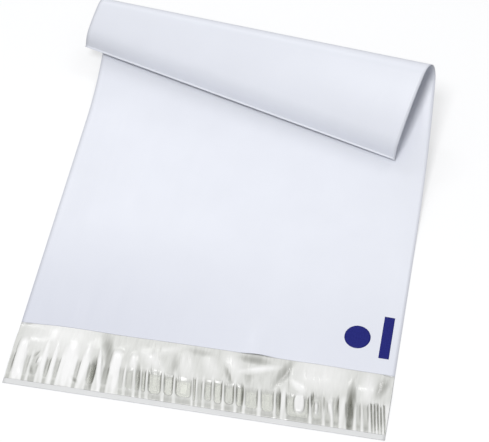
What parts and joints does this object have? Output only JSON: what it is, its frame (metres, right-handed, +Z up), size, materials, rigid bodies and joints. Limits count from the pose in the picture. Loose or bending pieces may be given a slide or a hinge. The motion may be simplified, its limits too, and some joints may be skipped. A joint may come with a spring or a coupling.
{
  "type": "poly mailer bag",
  "caption": "Flat mailing bag of welded plastic film with a pocket open at the mouth, a self-seal flap under a puckered release liner, and its bottom end rolled over.",
  "frame": {"origin": "on the table, at the middle of the pocket's mouth line, on the flat underside of the back panel", "axes": "+X across the bag to the viewer's right, +Y from the mouth towards the rolled bottom end, +Z up from the table"},
  "size_m": [0.2676, 0.3208, 0.0604],
  "materials": {
    "film": "satin white co-extruded polyethylene film, silver-grey on its inner face",
    "glue": "tacky pressure-sensitive hot-melt band",
    "liner": "clear glossy release film"
  },
  "bodies": {
    "root": {"mailer_film": "film", "adhesive_band": "glue", "release_liner": "liner"}
  },
  "joints": []
}
